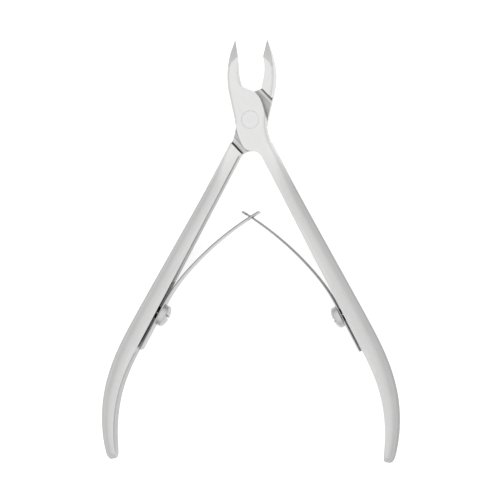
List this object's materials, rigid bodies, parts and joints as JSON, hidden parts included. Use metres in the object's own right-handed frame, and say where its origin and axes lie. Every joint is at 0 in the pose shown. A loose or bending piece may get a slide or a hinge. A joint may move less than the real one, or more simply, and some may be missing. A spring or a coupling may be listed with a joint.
{
  "type": "cuticle nipper",
  "caption": "Hand nipper with a lap joint, pointed cutting jaws, curved handles and interlocking leaf springs that hold it open.",
  "frame": {"origin": "on the pivot axis, in the plane of the joint's rear face", "axes": "+Z out of the front face along the pivot axis, +Y along the middle between the jaws towards their points, +X towards the front arm's handle"},
  "size_m": [0.0752, 0.1053, 0.0068],
  "materials": {
    "arm_steel": "satin, fine lengthwise grain, joint faces ground finer",
    "pin_steel": "ground flush with the joint",
    "spring_steel": "rolled strip, satin",
    "screw_steel": "turned, satin"
  },
  "bodies": {
    "front_arm": {"front_arm": "arm_steel", "pivot_pin": "pin_steel", "spring_screw_front": "screw_steel"},
    "rear_arm": {"rear_arm": "arm_steel", "spring_screw_rear": "screw_steel"},
    "tongue_leaf": {"spring_tongue": "spring_steel"},
    "slotted_leaf": {"spring_slotted": "spring_steel"}
  },
  "joints": [
    {"name": "jaw_pivot", "type": "hinge", "parent": "front_arm", "child": "rear_arm", "pos_m": [0, 0, 0.0028], "axis": [0, 0, 1], "range_deg": [0, 22.5], "stiffness_Nm_per_rad": 0.8},
    {"name": "tongue_flex", "type": "hinge", "parent": "front_arm", "child": "tongue_leaf", "pos_m": [0.02168, -0.04622, 0.0028], "axis": [0, 0, 1], "range_deg": [-10, 0], "deforming": ["spring_tongue"]},
    {"name": "slotted_flex", "type": "hinge", "parent": "rear_arm", "child": "slotted_leaf", "pos_m": [-0.02168, -0.04622, 0.0028], "axis": [0, 0, 1], "range_deg": [0, 10], "deforming": ["spring_slotted"]}
  ],
  "couplings": [
    {"joint": "tongue_flex", "follows": "jaw_pivot", "ratio": -0.4348},
    {"joint": "slotted_flex", "follows": "jaw_pivot", "ratio": 0.4348}
  ]
}
